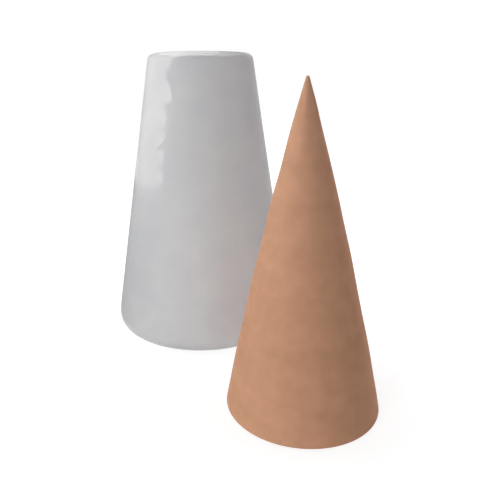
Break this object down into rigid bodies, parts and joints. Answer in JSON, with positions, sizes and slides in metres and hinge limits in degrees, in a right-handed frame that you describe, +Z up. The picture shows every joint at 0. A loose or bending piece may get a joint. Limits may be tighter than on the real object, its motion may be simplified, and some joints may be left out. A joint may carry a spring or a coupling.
{
  "type": "cone mould",
  "caption": "Plaster drop-out mould with a blunt tapered outside and a cone-shaped cavity open at its base, with the hollow clay cone that it casts standing beside it.",
  "frame": {"origin": "on the table, under the middle of the box round the pair", "axes": "+Z up, along both pieces' own axes, from the mould's open mouth to its closed top; +Y back, from the cone towards the mould; +X to the right, the side on which the cone stands"},
  "size_m": [0.1846, 0.2446, 0.2191],
  "materials": {
    "plaster": "gloss",
    "clay": "matte"
  },
  "bodies": {
    "cone": {"cast_cone": "clay"},
    "mould": {"plaster_mould": "plaster"}
  },
  "joints": [
    {"name": "mould_lift", "type": "slide", "parent": "cone", "child": "mould", "axis": [0, 0, 1], "range_m": [0, 0.21]}
  ]
}
